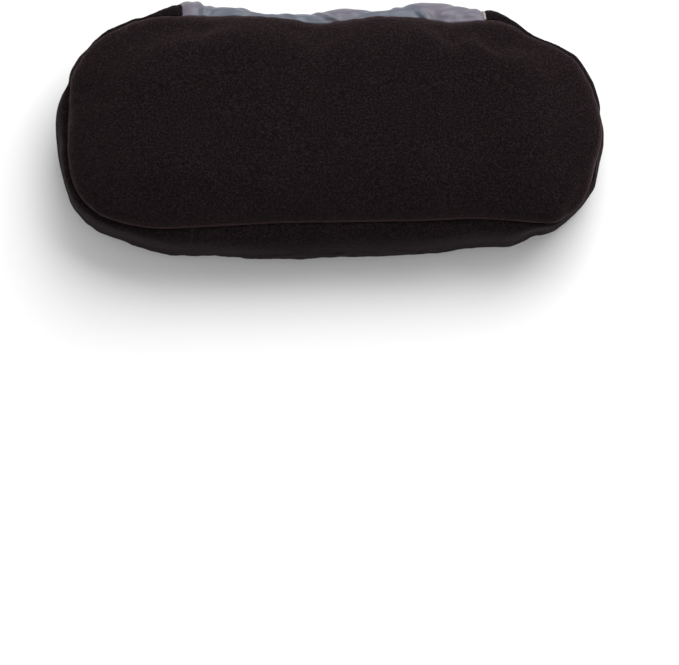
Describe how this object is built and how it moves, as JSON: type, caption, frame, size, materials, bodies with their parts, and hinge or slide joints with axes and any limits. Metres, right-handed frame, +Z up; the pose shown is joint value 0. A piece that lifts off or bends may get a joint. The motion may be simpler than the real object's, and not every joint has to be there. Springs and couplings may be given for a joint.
{
  "type": "camp pillow",
  "caption": "Boxed fleece pillow with rounded ends, a padded insert and a zipped nylon pocket along its rear.",
  "frame": {"origin": "middle of the flat underside, on the surface that the pillow lies on", "axes": "+X along the pillow's length, +Y towards its rear where the zipped pocket is, +Z up"},
  "size_m": [0.511, 0.2439, 0.112],
  "materials": {
    "fleece": "short-pile knitted polyester fleece, near black, matt",
    "base_nylon": "coated plain-weave nylon",
    "pocket_nylon": "lightweight taffeta nylon, soft sheen",
    "lining_mesh": "thin nylon lining",
    "binding": "grosgrain binding tape",
    "label": "satin care-label ribbon, blank",
    "zip_tape": "woven polyester zip tape",
    "zip_coil": "nylon coil",
    "zip_metal": "crimped stop, plain",
    "slider_enamel": "enamelled die-cast zinc",
    "ticking": "plain cotton ticking",
    "wadding": "lofted polyester wadding",
    "foam": "open-cell polyurethane foam"
  },
  "bodies": {
    "pillow": {"top_panel": "fleece", "boxing_band": "fleece", "base_panel": "base_nylon", "rear_pocket": "pocket_nylon", "rear_lower_strip": "pocket_nylon", "pocket_lining": "lining_mesh", "pocket_binding_left": "binding", "pocket_binding_right": "binding", "care_label": "label", "zip_tape_upper": "zip_tape", "zip_tape_lower": "zip_tape", "zip_row_upper": "zip_coil", "zip_row_lower": "zip_coil", "zip_closed_end_stops": "zip_metal", "zip_open_end_stop": "zip_metal", "insert_case_top": "ticking", "insert_case_base": "ticking", "wadding_top": "wadding", "wadding_base": "wadding", "foam_core": "foam"},
    "slider": {"zip_slider": "slider_enamel"},
    "pull": {"zip_pull": "slider_enamel"}
  },
  "joints": [
    {"name": "zip_slide", "type": "slide", "parent": "pillow", "child": "slider", "axis": [1, 0, 0], "range_m": [-0.25, 0]},
    {"name": "pull_hinge", "type": "hinge", "parent": "slider", "child": "pull", "pos_m": [0.125, 0.11595, 0.028], "axis": [0, 0, -1], "range_deg": [0, 180]}
  ]
}
